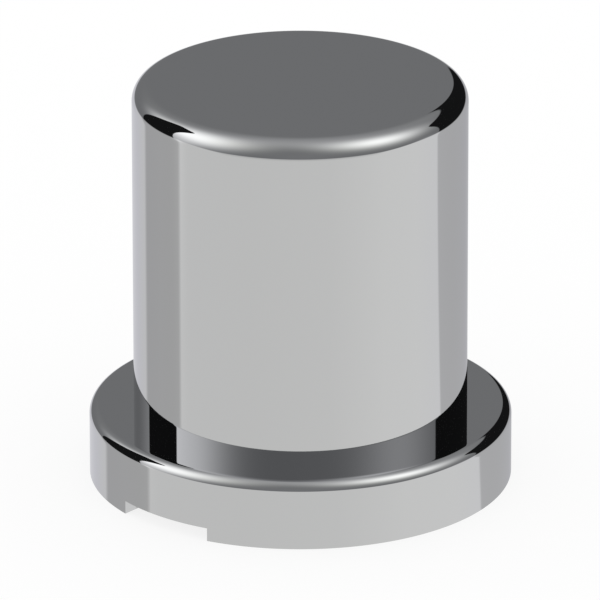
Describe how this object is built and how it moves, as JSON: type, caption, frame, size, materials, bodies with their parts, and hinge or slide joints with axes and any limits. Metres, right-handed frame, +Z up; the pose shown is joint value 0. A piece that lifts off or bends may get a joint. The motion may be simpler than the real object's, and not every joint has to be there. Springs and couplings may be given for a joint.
{
  "type": "wheel nut cover cap",
  "caption": "Round push-on cover for a hexagon wheel nut: flat-topped hollow barrel on a wider round flange, grip ribs inside, pull-off notch in its foot.",
  "frame": {"origin": "on the axis, at the flange's foot, where the cover stands on the wheel", "axes": "+Z up along the axis towards the closed top, -Y towards the notch in the foot"},
  "size_m": [0.0554, 0.0554, 0.0539],
  "materials": {
    "chrome_plate": "polished mirror chrome over moulded plastic"
  },
  "bodies": {
    "root": {"nut_cover": "chrome_plate"}
  },
  "joints": []
}
